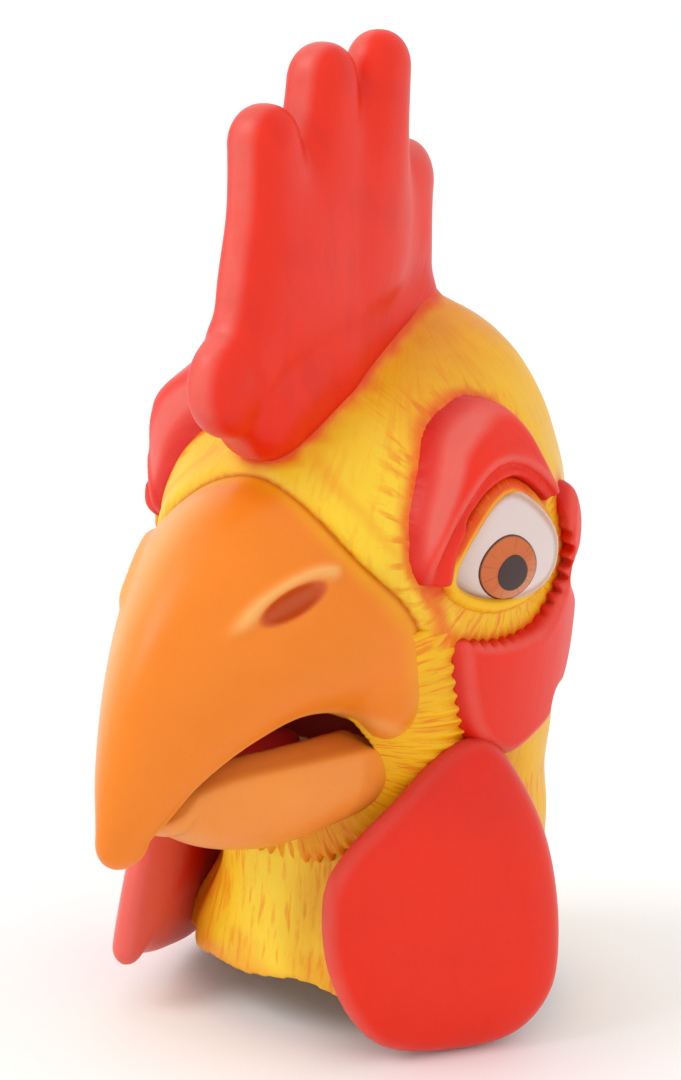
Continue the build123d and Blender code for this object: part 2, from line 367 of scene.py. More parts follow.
def main_island(points, quads):
    """Keep only the largest connected piece of the mesh."""
    edges = quad_edges(quads)
    label = np.arange(len(points))
    while True:
        low = np.minimum(label[edges[:, 0]], label[edges[:, 1]])
        new = label.copy()
        np.minimum.at(new, edges[:, 0], low)
        np.minimum.at(new, edges[:, 1], low)
        new = new[new]
        if (new == label).all():
            break
        label = new
    chosen = label == np.bincount(label).argmax()
    index = np.cumsum(chosen) - 1
    return points[chosen], index[quads[chosen[quads[:, 0]]]]


def surface(field, low, high, step, relax=2):
    """Closed quad mesh of a field's zero level, in millimetres."""
    axes = [np.arange(a, b + step, step) for a, b in zip(low, high)]
    x, y, z = axes[0][:, None, None], axes[1][None, :, None], axes[2][None, None, :]
    shape = tuple(len(a) for a in axes)
    values = np.array(np.broadcast_to(field(x, y, z), shape), np.float32)
    for axis in range(3):
        for end in (0, -1):
            border = np.moveaxis(values, axis, 0)[end]
            np.maximum(border, 0.5 * step, out=border)
    grid = openvdb.FloatGrid(2.0 * step)
    grid.copyFromArray(np.clip(values, -2 * step, 2 * step))
    points, quads = grid.convertToQuads(0.0)
    points = np.array(points, float) * step + np.array(low, float)
    quads = np.array(quads, np.int64)
    points, quads = main_island(points, quads)
    edges = quad_edges(quads)
    count = np.bincount(edges.ravel(), minlength=len(points)).astype(float)
    for _ in range(relax):
        points += 0.5 * (neighbours_mean(points, edges, count) - points)
    points = pull_to_level(points, values, low, step)
    for _ in range(2):
        points += 0.5 * (neighbours_mean(points, edges, count) - points)
    corners = points[quads]
    normals = np.cross(corners[:, 2] - corners[:, 0], corners[:, 3] - corners[:, 1])
    if np.sum(corners.mean(1) * normals) < 0:
        quads = quads[:, ::-1]
    return points, quads


def sample(values, low, step, points):
    """Values of a grid at points, with straight-line interpolation."""
    place = (points - np.array(low)) / step
    cell = np.clip(np.floor(place).astype(int), 0, np.array(values.shape) - 2)
    part = place - cell
    total = np.zeros(len(points))
    for corner in range(8):
        shift = np.array([corner & 1, corner >> 1 & 1, corner >> 2 & 1])
        weight = np.prod(np.where(shift, part, 1 - part), axis=1)
        index = cell + shift
        total += weight * values[index[:, 0], index[:, 1], index[:, 2]]
    return total


def pull_to_level(points, values, low, step):
    """Move points a little towards the field's zero level."""
    here = sample(values, low, step, points)
    slope = np.zeros_like(points)
    for axis in range(3):
        shift = np.zeros(3)
        shift[axis] = 0.6 * step
        ahead = sample(values, low, step, points + shift)
        behind = sample(values, low, step, points - shift)
        slope[:, axis] = (ahead - behind) / (1.2 * step)
    length = np.sum(slope**2, 1)
    move = 0.8 * (here / np.maximum(length, 0.05))[:, None] * slope
    size = np.linalg.norm(move, axis=1, keepdims=True)
    return points - move * np.minimum(1, 0.5 * step / np.maximum(size, 1e-6))


def finish_object(name, mesh, material, masks):
    """An object of the mesh, with its paint masks as point attributes."""
    mesh.validate()
    mesh.shade_smooth()
    for mask, values in (masks or {}).items():
        layer = mesh.attributes.new(mask, "FLOAT", "POINT")
        values = np.broadcast_to(values, len(mesh.vertices))
        layer.data.foreach_set("value", values.astype(np.float32))
    mesh.materials.append(material)
    made = bpy.data.objects.new(name, mesh)
    scene.collection.objects.link(made)
    return made


def make_object(name, points, quads, material, masks=None):
    """An object of quads, from points in millimetres to metres."""
    mesh = bpy.data.meshes.new(name)
    mesh.vertices.add(len(points))
    mesh.vertices.foreach_set("co", (points * 0.001).astype(np.float32).ravel())
    mesh.loops.add(quads.size)
    mesh.loops.foreach_set("vertex_index", quads.astype(np.int32).ravel())
    mesh.polygons.add(len(quads))
    mesh.polygons.foreach_set("loop_start", np.arange(0, quads.size, 4, dtype=np.int32))
    mesh.update(calc_edges=True)
    return finish_object(name, mesh, material, masks)


# ---- materials ----------------------------------------------------------------
STAGE_LIGHT = 1.2            # how much brighter than its paint a face looks on the white stage


def colour(red, green, blue):
    """Linear paint for a display colour given in 0 to 255."""
    values = []
    for value in (red, green, blue):
        value /= 255
        linear = value / 12.92 if value <= 0.04045 else ((value + 0.055) / 1.055) ** 2.4
        values.append(linear / STAGE_LIGHT)
    return (*values, 1.0)


def math_node(tree, operation, a, b=None, c=None, clamp=False):
    node = tree.nodes.new("ShaderNodeMath")
    node.operation = operation
    node.use_clamp = clamp
    for socket, value in zip(node.inputs, (a, b, c)):
        if value is None:
            continue
        if isinstance(value, (int, float)):
            socket.default_value = value
        else:
            tree.links.new(value, socket)
    return node.outputs[0]


def around(tree, noise, swing, middle):
    """A noise whose average is moved to the middle value."""
    return math_node(tree, "MULTIPLY_ADD", math_node(tree, "SUBTRACT", noise, 0.5), swing, middle)


def noise_node(tree, vector, scale, detail=3.0, roughness=0.55):
    node = tree.nodes.new("ShaderNodeTexNoise")
    node.inputs["Scale"].default_value = scale
    node.inputs["Detail"].default_value = detail
    node.inputs["Roughness"].default_value = roughness
    tree.links.new(vector, node.inputs["Vector"])
    return node.outputs["Fac"]


def attribute_node(tree, name):
    node = tree.nodes.new("ShaderNodeAttribute")
    node.attribute_name = name
    return node.outputs["Fac"]


def mix_colour(tree, factor, a, b, blend="MIX"):
    node = tree.nodes.new("ShaderNodeMix")
    node.data_type = "RGBA"
    node.blend_type = blend
    sockets = [s for s in node.inputs if s.enabled]
    for socket, value in zip(sockets, (factor, a, b)):
        if isinstance(value, (int, float, tuple)):
            socket.default_value = value
        else:
            tree.links.new(value, socket)
    return next(s for s in node.outputs if s.enabled)


def span(tree, value, low, high):
    """0 below low, 1 above high, smooth between."""
    node = tree.nodes.new("ShaderNodeMapRange")
    node.interpolation_type = "SMOOTHSTEP"
    node.inputs["From Min"].default_value = low
    node.inputs["From Max"].default_value = high
    tree.links.new(value, node.inputs["Value"])
    return node.outputs["Result"]


def latex(name, base, layers=(), strokes=(), mottle=0.07, rough=0.45, coat=0.05, grain=0.1,
          soft=0.08, blotch=22.0):
    """Painted latex. layers: (mask, colour, strength, raggedness); strokes: (mask, across, along,
    strokes per mm, stroke length share, colour, strength, depth in mm, threshold)."""
    material = bpy.data.materials.new(name)
    material.use_nodes = True
    tree = material.node_tree
    shader = tree.nodes["Principled BSDF"]
    place = tree.nodes.new("ShaderNodeTexCoord").outputs["Object"]
    ragged = noise_node(tree, place, 70.0, 5.0, 0.65)
    cloud = noise_node(tree, place, blotch, 4.0, 0.6)
    fine = noise_node(tree, place, 900.0, 3.0, 0.6)
    paint = base
    for mask, tint, strength, raggedness in layers:
        wobble = around(tree, ragged, 4.0 * raggedness, 1.0)
        amount = math_node(tree, "MULTIPLY", attribute_node(tree, mask), wobble, clamp=True)
        amount = math_node(tree, "MULTIPLY", amount, strength, clamp=True)
        paint = mix_colour(tree, amount, paint, tint)
    height = math_node(tree, "MULTIPLY", fine, grain)
    for mask, across, along, rate, share, tint, strength, depth, threshold in strokes:
        vector = tree.nodes.new("ShaderNodeCombineXYZ")
        tree.links.new(math_node(tree, "MULTIPLY", attribute_node(tree, across), rate), vector.inputs[0])
        tree.links.new(math_node(tree, "MULTIPLY", attribute_node(tree, along), rate * share),
                       vector.inputs[1])
        streak = noise_node(tree, vector.outputs[0], 1.0, 3.0, 0.6)
        amount = attribute_node(tree, mask)
        shown = math_node(tree, "MULTIPLY", span(tree, streak, threshold, threshold + 0.16), amount)
        shown = math_node(tree, "MULTIPLY", shown, strength, clamp=True)
        paint = mix_colour(tree, shown, paint, tint)
        groove = math_node(tree, "MULTIPLY", math_node(tree, "MULTIPLY", streak, amount), -depth * 2)
        height = math_node(tree, "ADD", height, groove)
    dark = around(tree, cloud, 4.0 * mottle, 1.0)
    tint_value = tree.nodes.new("ShaderNodeCombineColor")
    for socket in tint_value.inputs[:3]:
        tree.links.new(dark, socket)
    paint = mix_colour(tree, 1.0, paint, tint_value.outputs[0], "MULTIPLY")
    if isinstance(paint, tuple):
        shader.inputs["Base Color"].default_value = paint
    else:
        tree.links.new(paint, shader.inputs["Base Color"])
    tree.links.new(around(tree, cloud, 0.35, rough), shader.inputs["Roughness"])
    bump = tree.nodes.new("ShaderNodeBump")
    bump.inputs["Distance"].default_value = 0.001
    bump.inputs["Strength"].default_value = 1.0
    tree.links.new(height, bump.inputs["Height"])
    tree.links.new(bump.outputs[0], shader.inputs["Normal"])
    shader.inputs["Coat Weight"].default_value = coat
    shader.inputs["Coat Roughness"].default_value = 0.22
    shader.inputs["Subsurface Weight"].default_value = soft
    shader.inputs["Subsurface Scale"].default_value = 0.004
    shader.inputs["Specular IOR Level"].default_value = 0.27
    return material


YELLOW = colour(252, 190, 10)
# lighter yellow: a painted highlight on the front of the neck, and lighter yellow on the face and round the
# eyes
LEMON_AND_HIGHLIGHT = colour(255, 222, 60)
ORANGE = colour(244, 130, 14)
# pale orange of a painted highlight on the beaks, and of a paler tone all over the lower beak
PALE_AND_HIGHLIGHT_ORANGE = colour(252, 184, 104)
RED = colour(242, 40, 4)
DEEP_RED = colour(214, 20, 8)
# pink of a painted sheen: the white studio glancing off the red latex's rounded edges
SHEEN_PINK = colour(238, 108, 96)
SHADE_BROWN = colour(150, 62, 18)
# brown of painted shade where a lid meets the eyeball
INNER = colour(240, 205, 130)

HEAD_PAINT = latex("head_latex_paint", YELLOW, [
    ("lemon_and_highlight", LEMON_AND_HIGHLIGHT, 0.9, 0.2),
    ("orange", ORANGE, 0.85, 0.35),
    ("red", RED, 0.8, 0.3),
    # painted shade in darker orange, in the creases round the beaks
    ("crease", colour(214, 104, 20), 0.7, 0.2),
    ("inside", INNER, 1.0, 0.0),
], [
    ("hatch", "turn", "rise", 0.25, 0.14, ORANGE, 0.6, 0.3, 0.5),
    ("ray", "ray_turn", "ray_out", 0.42, 0.12, ORANGE, 0.9, 0.45, 0.5),
])
FEATHER_PAINT = latex("feather_latex_paint", YELLOW, [
    ("orange", ORANGE, 0.9, 0.3),
    ("red", RED, 0.8, 0.2),
    ("crease", SHADE_BROWN, 0.6, 0.2),
], [("ray", "ray_turn", "ray_out", 0.5, 0.12, ORANGE, 0.85, 0.4, 0.5)])
BEAK_PAINT = latex("beak_latex_paint", colour(247, 134, 24), [
    # painted highlight in pale orange
    ("pale", PALE_AND_HIGHLIGHT_ORANGE, 0.85, 0.15),
    ("yellow", YELLOW, 0.7, 0.25),
    ("red", colour(210, 82, 26), 0.95, 0.15),
    # painted shade along the crease where the skin meets the beak
    ("crease", colour(206, 96, 22), 0.7, 0.15),
    ("inside", colour(150, 30, 26), 1.0, 0.0),
], mottle=0.04, rough=0.38)
COMB_PAINT = latex("comb_latex_paint", RED, [
    # painted sheen in pink, laid over the red
    ("sheen_pink", SHEEN_PINK, 0.85, 0.25),
    ("deep", DEEP_RED, 0.7, 0.25),
], [("ray", "ray_turn", "ray_out", 0.12, 0.15, DEEP_RED, 0.14, 0.2, 0.5)], mottle=0.06, rough=0.42)
MOUTH_PAINT = latex("mouth_latex_paint", colour(214, 66, 50), mottle=0.12)
TONGUE_PAINT = latex("tongue_latex_paint", colour(246, 52, 50), mottle=0.08, coat=0.4, rough=0.3)
FOAM_PAINT = latex("foam_grey", colour(214, 205, 180), mottle=0.08, rough=0.85, coat=0.0, grain=0.5)
EYE_PAINT = latex("eye_white_paint", colour(234, 214, 208), [
    # painted shade in tan round the eyeball's rim
    ("crease", colour(196, 132, 96), 0.7, 0.2)], mottle=0.03, rough=0.22, coat=0.5, grain=0.02)
IRIS_PAINT = latex("iris_orange_paint", colour(216, 104, 34), [
    ("pale", colour(222, 150, 110), 0.6, 0.3), ("crease", colour(86, 34, 14), 1.0, 0.0)],
    [("ray", "ray_turn", "ray_out", 0.5, 0.1, colour(176, 78, 26), 0.5, 0.05, 0.5)],
    mottle=0.05, rough=0.2, coat=0.5, grain=0.02)
PUPIL_PAINT = latex("pupil_brown_paint", colour(58, 30, 26), mottle=0.1, rough=0.2, coat=0.5,
                    grain=0.02)


# ---- pieces -------------------------------------------------------------------
INTO_HEAD = 8.0              # how far the root of a beak lies inside the head's surface
SEAM = 1.6                   # how far the skin overlaps a beak
BACKING = 2.0                # how far a relief patch reaches under the skin
HEAD_AXIS = 2.0              # Y of the head's upright axis
HEAD_TURN = 90.0             # millimetres round the head in one radian


def near(distance, reach):
    """1 on a feature's surface, falling to 0 at a distance from it."""
    return 1 - smoothstep(0, reach, distance)


def soft_noise(x, y, z, size, seed):
    """Smooth wobble between about -1 and 1, with features of about that size."""
    maker = np.random.default_rng(seed)
    total = 0
    for _ in range(5):
        a, b, c = maker.normal(size=3) / size * 2.2
        total = total + np.sin(a * x + b * y + c * z + maker.uniform(0, 6.28))
    return total / 3.0


def place(piece, body, nodes, slot_name):
    """Put a piece on its body, in place of its CAD nodes."""
    if body:
        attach(piece, body)
    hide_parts(*nodes)


def build(name, field, low, high, step, material, paint=None):
    """The closed mesh of a field between two corners, painted by a function of its points."""
    points, quads = surface(field, low, high, step)
    masks = paint(points[:, 0], points[:, 1], points[:, 2]) if paint else None
    return make_object(name, points, quads, material, masks)


# ---- beak ----
LIP_CURVE = smooth_curve(UPPER_LIP)
JAW_CURVE = smooth_curve(LOWER_LIP)
NOSTRIL = np.array([46.6, -154.2, 222.6])        # middle of a nostril on the left
NOSTRIL_RUN = np.array([11.4, 25.8, 12.5])       # along it, towards its rear end
NOSTRIL_HALF_LENGTH = 16.0
NOSTRIL_RADIUS = 5.4
LOBE_MIDDLE = (57, -84, 172)
LOBE_SIZE = (17, 22, 27)


def nostril_field(x, y, z):
    """Long slanting pit on each side of the beak, in its own direction."""
    along = NOSTRIL_RUN / np.linalg.norm(NOSTRIL_RUN)
    dx, dy, dz = np.abs(x) - NOSTRIL[0], y - NOSTRIL[1], z - NOSTRIL[2]
    run = dx * along[0] + dy * along[1] + dz * along[2]
    radial = np.sqrt(np.maximum(dx * dx + dy * dy + dz * dz - run * run, 0))
    return np.hypot(run * NOSTRIL_RADIUS / NOSTRIL_HALF_LENGTH, radial) - NOSTRIL_RADIUS


def nostril_ridge(x, y, z):
    """Raised edge above a nostril."""
    above = z - NOSTRIL[2] - 0.42 * (y - NOSTRIL[1]) - 0.1 * (np.abs(x) - NOSTRIL[0])
    return 3.6 * np.exp(-(((nostril_field(x, y, z) - 3.8) / 2.4) ** 2)) * smoothstep(-3, 5, above)


def lobe_field(x, y, z):
    """Swelling at each rear corner of the upper beak, over the corner of the mouth."""
    dx, dy, dz = np.abs(x) - LOBE_MIDDLE[0], y - LOBE_MIDDLE[1], z - LOBE_MIDDLE[2]
    size = np.sqrt((dx / LOBE_SIZE[0]) ** 2 + (dy / LOBE_SIZE[1]) ** 2 + (dz / LOBE_SIZE[2]) ** 2)
    return (size - 1) * LOBE_SIZE[0]


def upper_beak(x, y, z):
    """Hollow hooked bill with nostrils, cut along its lip, and a swelling at each rear corner."""
    horn = horn_field(UPPER_BEAK, x, y, z)
    body = cut(horn - nostril_ridge(x, y, z), nostril_field(x, y, z), 1.6)
    body = cut(body, horn + 8.5, 1.0)
    body = cut(body, outline_distance(LIP_CURVE, y, z), 2.0)
    lobe = lobe_field(x, y, z)
    body = join(body, np.maximum(lobe, -(lobe + 7)), 7.0)
    return cut(body, head_field(x, y, z) + INTO_HEAD, 1.0)


def lower_beak(x, y, z):
    """Lower beak whose lip slopes up inwards from a rounded outer ridge."""
    horn = horn_field(LOWER_BEAK, x, y, z)
    below_lip = outline_distance(JAW_CURVE, y, z)
    hollow = horn + 4.0 + 12.0 * (1 - smoothstep(4, 26, below_lip))
    body = cut(horn, hollow, 1.5)
    drop = 6.0 * (1 - smoothstep(0, 14, -horn))
    body = cut(body, below_lip - drop, 2.0)
    return cut(body, head_field(x, y, z) + INTO_HEAD, 1.0)


def upper_beak_paint(x, y, z):
    """Painted pale highlight to the right of the ridge, along the lip and on the nostril's edge."""
    lip = outline_distance(LIP_CURVE, y, z)
    pit = nostril_field(x, y, z)
    skin = head_field(x, y, z)
    return {
        # painted highlight: pale on the right slope, along the lip and on the nostril's raised edge
        "pale": np.maximum.reduce([0.85 * smoothstep(6, -24, x) * smoothstep(90, 190, z),
                                   0.5 * near(np.abs(lip), 6), 0.3 * nostril_ridge(x, y, z)]),
        "yellow": 0.7 * near(skin, 10),
        "red": near(pit - 0.2, 1.6),
        # painted shade in the crease along the skin's edge
        "crease": near(np.abs(skin), 2.5),
        "inside": smoothstep(-5.5, -7.5, horn_field(UPPER_BEAK, x, y, z)) * smoothstep(4, 10, pit),
    }


def lower_beak_paint(x, y, z):
    depth_in = horn_field(LOWER_BEAK, x, y, z)
    skin = head_field(x, y, z)
    return {
        # a paler tone all over, with a painted highlight low on the lower beak's right side
        "pale": 0.3 + smoothstep(30, -40, x) * 0.5 * smoothstep(150, 110, z),
        "yellow": 0.5 * near(skin, 10),
        "red": smoothstep(-12, -15, depth_in)
        + 0.45 * smoothstep(-1.5, -5, depth_in) * smoothstep(125, 138, z),
        # painted shade in the crease along the skin's edge
        "crease": near(np.abs(skin), 2.5),
        "inside": 0.0,
    }


# ---- head ----
PINCH = 15.0                 # hollow of the neck under each cheek


def hem(x, y):
    """Height of the wavy bottom edge round the neck."""
    turn = np.arctan2(x, -y)
    front = np.exp(-((turn / 0.9) ** 2))
    return 1.0 + 7.0 * front + 1.6 * np.sin(5 * turn + 0.6) + 1.1 * np.sin(11 * turn)


def head_turn(x, y):
    """Angle round the head's axis, from the front."""
    return np.arctan2(x, -(y - HEAD_AXIS))


def folds(x, y, z):
    """Soft upright folds of the neck and small unevenness of the skin."""
    turn = head_turn(x, y)
    low = 1 - smoothstep(40, 170, z)
    pleats = np.sin(17 * turn + 0.5 * np.sin(z / 23.0)) * (0.6 + 0.4 * np.sin(5 * turn + z / 60.0))
    pinch = np.exp(-(((np.abs(turn) - 1.0) / 0.42) ** 2))
    pinch = pinch * smoothstep(10, 62, z) * (1 - smoothstep(100, 150, z))
    return 1.3 * low * pleats + 0.7 * soft_noise(x, y, z, 26, 4) - PINCH * pinch


def head_skin(x, y, z):
    """Hollow head, open at the hem, the eyes and the mouth, and swollen at the foot of the comb."""
    bare = head_field(x, y, z) - folds(x, y, z)
    beak = horn_field(UPPER_BEAK, x, y, z)
    rolled = smoothstep(150, 185, z) * np.exp(-(((beak - 6) / 4.0) ** 2))
    ripple = np.sin(head_turn(x, y) * HEAD_TURN * 2.2 + z / 1.6)
    skin = bare - 2.6 * rolled * (1 + 0.25 * ripple)
    foot = np.maximum(comb_skin(x, y, z) + 1.2, bare - 9)
    skin = join(skin, foot, 8.0)
    shell = cut(skin, bare + LATEX)
    for side in (1, -1):
        edge, _, _, w = eye_opening(side, x, y, z)
        socket = np.maximum(edge - 1.5, -30 - w)
        shell = cut(shell, socket, 1.0)
    shell = cut(shell, beak + SEAM)
    shell = cut(shell, lobe_field(x, y, z) + 3)
    shell = cut(shell, horn_field(LOWER_BEAK, x, y, z) + SEAM)
    return np.maximum(shell, hem(x, y) - z)


def eye_rays(x, y, z):
    """Stroke directions that run out from the eyes."""
    u, v, _ = eye_frame(np.where(x >= 0, 1, -1), x, y, z)
    return {"ray_turn": np.abs(np.arctan2(v, u)) * EYE_TURN, "ray_out": np.hypot(u, v)}


def head_paint(x, y, z):
    eye_edge, _, _, eye_w = eye_opening(np.where(x >= 0, 1, -1), x, y, z)
    beak_gap = horn_field(UPPER_BEAK, x, y, z)
    jaw_gap = horn_field(LOWER_BEAK, x, y, z)
    comb_gap = comb_skin(x, y, z)
    brow_gap = np.where(x >= 0, brow_field(1, x, y, z), brow_field(-1, x, y, z))
    ear_gap = np.where(x >= 0, ear_field(1, x, y, z), ear_field(-1, x, y, z))
    wobble = soft_noise(x, y, z, 14, 9)
    turn = np.abs(np.arctan2(x, -y))
    low = 1 - smoothstep(70, 120, z)
    down = np.clip((236 - z) / 36, 0, 1)                       # along the streak from brow to cheek
    streak_gap = np.hypot(y + 95 - 14 * down, z - 236 + 36 * down)
    root = near(wattle_field("right", x, y, z) - 6, 22) * smoothstep(20, 60, z + 8 * wobble)
    masks = {
        # painted highlight down the front of the neck; lighter yellow on the front above the beak and round
        # each eye
        "lemon_and_highlight": near(turn, 1.0) * low + smoothstep(70, 0, np.abs(eye_edge)) * 0.3
        + 0.6 * smoothstep(-50, -90, y) * smoothstep(180, 220, z),
        "orange": np.maximum.reduce([
            0.6 * near(beak_gap, 3 + wobble),
            0.35 * near(np.abs(beak_gap - 12), 3),
            near(jaw_gap, 7 + 3 * wobble),
            near(comb_gap, 11 + 5 * wobble),
            0.6 * near(comb_gap, 62 + 14 * wobble) * smoothstep(-75, -10, y),
            0.9 * near(brow_gap, 6),
            0.8 * near(ear_gap, 8),
            0.6 * (1 - smoothstep(4, 30, z + 6 * wobble)),
            0.5 * near(np.abs(turn - 0.85), 0.3) * low,
            0.22 * smoothstep(-0.2, 1.0, soft_noise(x, y, z, 34, 2))]),
        "red": np.maximum.reduce([
            near(comb_gap, 4 + 2 * wobble),
            0.8 * near(brow_gap, 3.5),
            0.5 * near(ear_gap, 3),
            0.9 * near(streak_gap, 9),
            root]),
        # painted shade in the creases where the skin meets the beaks
        "crease": np.maximum(near(beak_gap, 1.8), near(jaw_gap, 2.5)),
        "inside": smoothstep(-1.5, -2.6, head_field(x, y, z) - folds(x, y, z)),
        "hatch": 0.35 + 0.65 * (1 - smoothstep(80, 190, z)),
        "ray": np.maximum(near(np.abs(eye_edge - 14), 20) * (eye_w > -40), near(brow_gap, 16)),
        "turn": np.abs(head_turn(x, y)) * HEAD_TURN,
        "rise": z,
    }
    masks.update(eye_rays(x, y, z))
    return masks


# ---- mouth ----
MOUTH_HALF_SKIN = 1.3
ROOF_LINE = smooth_curve([(-176, 170), (-150, 180), (-110, 183), (-80, 180), (-66, 168), (-62, 152),
                          (-62, 128)], closed=False)
FLOOR_LINE = smooth_curve([(-176, 126), (-150, 118), (-110, 117), (-88, 120), (-74, 128)], closed=False)


def sheet_field(line, y, z):
    """Thin skin along a side-view line."""
    best = np.full(np.broadcast(y, z).shape, 1e9)
    for (ay, az), (by, bz) in zip(line, line[1:]):
        ey, ez = by - ay, bz - az
        share = np.clip(((y - ay) * ey + (z - az) * ez) / (ey * ey + ez * ez), 0, 1)
        best = np.minimum(best, np.hypot(y - ay - share * ey, z - az - share * ez))
    return best - MOUTH_HALF_SKIN


def palate(x, y, z):
    """Arched roof of the mouth, with a curtain down behind it."""
    arch = sheet_field(ROOF_LINE, y, z + x * x / 240.0)
    curtain = np.maximum(-70 - y, np.abs(x) - 46)
    return keep(arch, np.minimum(horn_field(UPPER_BEAK, x, y, z) + 3.0, curtain))


def mouth_floor(x, y, z):
    dish = sheet_field(FLOOR_LINE, y, z - x * x / 260.0)
    return keep(dish, horn_field(LOWER_BEAK, x, y, z) + 2.5)


def tongue_field(x, y, z):
    """Long oval with a groove along its top, lifted towards its tip."""
    lift = 3.0 * smoothstep(-110, -150, y)
    size = np.sqrt((x / 19.0) ** 2 + ((y + 122) / 39.0) ** 2 + ((z - 134 - lift) / 12.0) ** 2)
    groove = 2.0 * np.exp(-((x / 3.0) ** 2)) * (z > 132)
    return (size - 1) * 11.0 + groove


def comb_shell(x, y, z):
    outer = comb_skin(x, y, z)
    body = cut(outer, outer + 2.6, 0.4)
    return cut(body, head_field(x, y, z) + 1.5, 1.0)


def comb_core(x, y, z):
    return cut(comb_skin(x, y, z) + 4.0, head_field(x, y, z) - 1.0, 1.0)


def comb_paint(x, y, z):
    """Painted pink sheen along the edges, a deep red foot, and strokes that fan out from inside the crown.
    """
    skin = head_field(x, y, z)
    blotches = smoothstep(0, 1, soft_noise(x, y, z, 20, 3))
    return {
        # painted highlight: pink sheen on the comb's rounded edges, near its middle plane
        "sheen_pink": 0.8 * smoothstep(9, 3, np.abs(x)),
        "deep": np.maximum(near(skin, 10) * smoothstep(347, 336, z), 0.3 * blotches),
        "ray": 0.4 + 0.6 * near(skin, 50),
        "ray_turn": np.arctan2(y + 60, z - 260) * 130.0,
        "ray_out": np.hypot(y + 60, z - 260),
    }


# ---- brows and ear patches ----
def brow_paint(side, x, y, z):
    """Pink highlights on the outer edge and on the ridge of the fold."""
    edge = outline_distance(BROW_CURVE[side], y, z)
    fold = eye_opening(side, x, y, z)[0] - FOLD_REACH
    outer = 1.3 * near(np.abs(edge + 5), 6) * smoothstep(-15, -55, y) * smoothstep(4, 9, fold)
    return {"sheen_pink": np.maximum(outer, 0.7 * near(np.abs(fold - 3.6), 2.5)), "deep": near(np.abs(edge), 3),
            "ray": 0.5, "ray_turn": edge * 1.5, "ray_out": y - z}


def ear_paint(side, x, y, z):
    edge = outline_distance(EAR_CURVE, y, z)
    # painted highlight: pink sheen just inside the patch's rounded rim
    return {"sheen_pink": near(np.abs(edge + 4), 4) * 0.5, "deep": near(np.abs(edge), 3),
            "ray": 0.5, "ray_turn": y * 1.2, "ray_out": z}


# ---- feather collars ----
COLLAR_MIDDLE = 150.0        # height of the centre of the collar's round edge, seen from in front
COLLAR_TURN = [-90, -60, -35, -10, 10, 18, 26, 40]       # degrees up from level
COLLAR_REACH = [77, 78, 78, 81, 85, 90, 96, 104]
COLLAR_TOOTH = 6.6


def collar_edge(x, z):
    """Distance outside the collar's edge, and the turn along it in millimetres."""
    turn = np.arctan2(z - COLLAR_MIDDLE, np.abs(x))
    reach = np.interp(np.degrees(turn), COLLAR_TURN, COLLAR_REACH)
    along = turn * 80.0
    share = (along / COLLAR_TOOTH) % 1
    tooth = np.minimum(share / 0.7, (1 - share) / 0.3)
    reach = reach + 4.6 * tooth - 2.6 + 0.9 * np.sin(along / 9.0)
    return np.hypot(x, z - COLLAR_MIDDLE) - reach, along


def collar_field(side, x, y, z):
    """Toothed fringe of feathers round one side of the beaks."""
    edge, along = collar_edge(x, z)
    inside = np.clip(-edge / 7.0, 0, 1)
    bulge = 0.6 + 3.4 * np.sqrt(np.clip(1 - (1 - inside) ** 2, 0, 1))
    bulge = bulge * (0.3 + 0.7 * smoothstep(16, 46, np.abs(x)))
    bulge = bulge - 0.55 * np.cos(along * 2 * np.pi / COLLAR_TOOTH) * near(-edge, 16)
    bulge = bulge + 0.35 * np.sin(along * 2.3)
    skin = head_field(x, y, z)
    field = np.maximum(np.maximum(skin - bulge, edge * 0.8), -(skin + BACKING))
    top = z - 206 - 0.25 * (y + 80)
    field = np.maximum(np.maximum(field, y + 34), np.maximum(0.4 - side * x, top))
    field = cut(field, horn_field(UPPER_BEAK, x, y, z) + SEAM)
    field = cut(field, lobe_field(x, y, z) + 2.0)
    return cut(field, horn_field(LOWER_BEAK, x, y, z) + SEAM)


def collar_paint(_side, x, y, z):
    edge, along = collar_edge(x, z)
    return {"orange": np.maximum(0.4 * smoothstep(110, 84, z), 0.35 * near(np.abs(edge), 3)),
            "red": 0.25 * smoothstep(104, 76, z) * near(np.abs(edge), 6),
            "crease": 0.0, "ray": 1.0,
            "ray_turn": along, "ray_out": edge}


# ---- eyes ----
DISC_FOOT = -0.4             # how far a painted disc reaches under the eyeball's surface


def lid_field(side, x, y, z):
    """Thick soft rim round the eye, with a skirt down to the eyeball."""
    edge, _, v, w = eye_opening(side, x, y, z)
    skin = head_field(x, y, z)
    upper = smoothstep(-14, 14, v)
    ring = np.hypot(edge - 3.0, skin - 0.6) - (3.6 + 0.8 * upper)
    skirt = np.maximum(np.maximum(np.abs(edge - 1.6) - 1.4, skin), -16 - w)
    return join(ring, skirt, 2.0)


def lid_paint(side, x, y, z):
    """Red on the outer side of the upper lid, yellow below."""
    edge, eye_u, eye_v, _ = eye_opening(side, x, y, z)
    masks = {"orange": 0.6 * smoothstep(0, 20, eye_v) + 0.4 * near(np.abs(edge - 7), 2),
             "red": smoothstep(1.5, 3.5, edge) * smoothstep(-4, 8, eye_v) * smoothstep(22, 12, eye_u),
             # painted shade where the lid meets the eyeball
             "crease": 0.5 * near(np.abs(edge), 1.0),
             "ray": near(np.abs(edge - 6), 3)}
    masks.update(eye_rays(x, y, z))
    return masks


def eye_field(side, x, y, z):
    """Domed shell that fills the eye opening."""
    edge, u, v, w = eye_opening(side, x, y, z)
    a, b, c = EYE_AXES
    dome = (np.sqrt((u / a) ** 2 + (v / b) ** 2 + ((w + c) / c) ** 2) - 1) * c
    shell = np.maximum(dome, -(dome + 3.0))
    return np.maximum(np.maximum(shell, edge - 2.4), -20 - w)


def eye_paint(side, x, y, z):
    # painted shade round the rim of the eyeball, where it sits back under the lids
    return {"crease": near(np.abs(eye_opening(side, x, y, z)[0]), 3)}


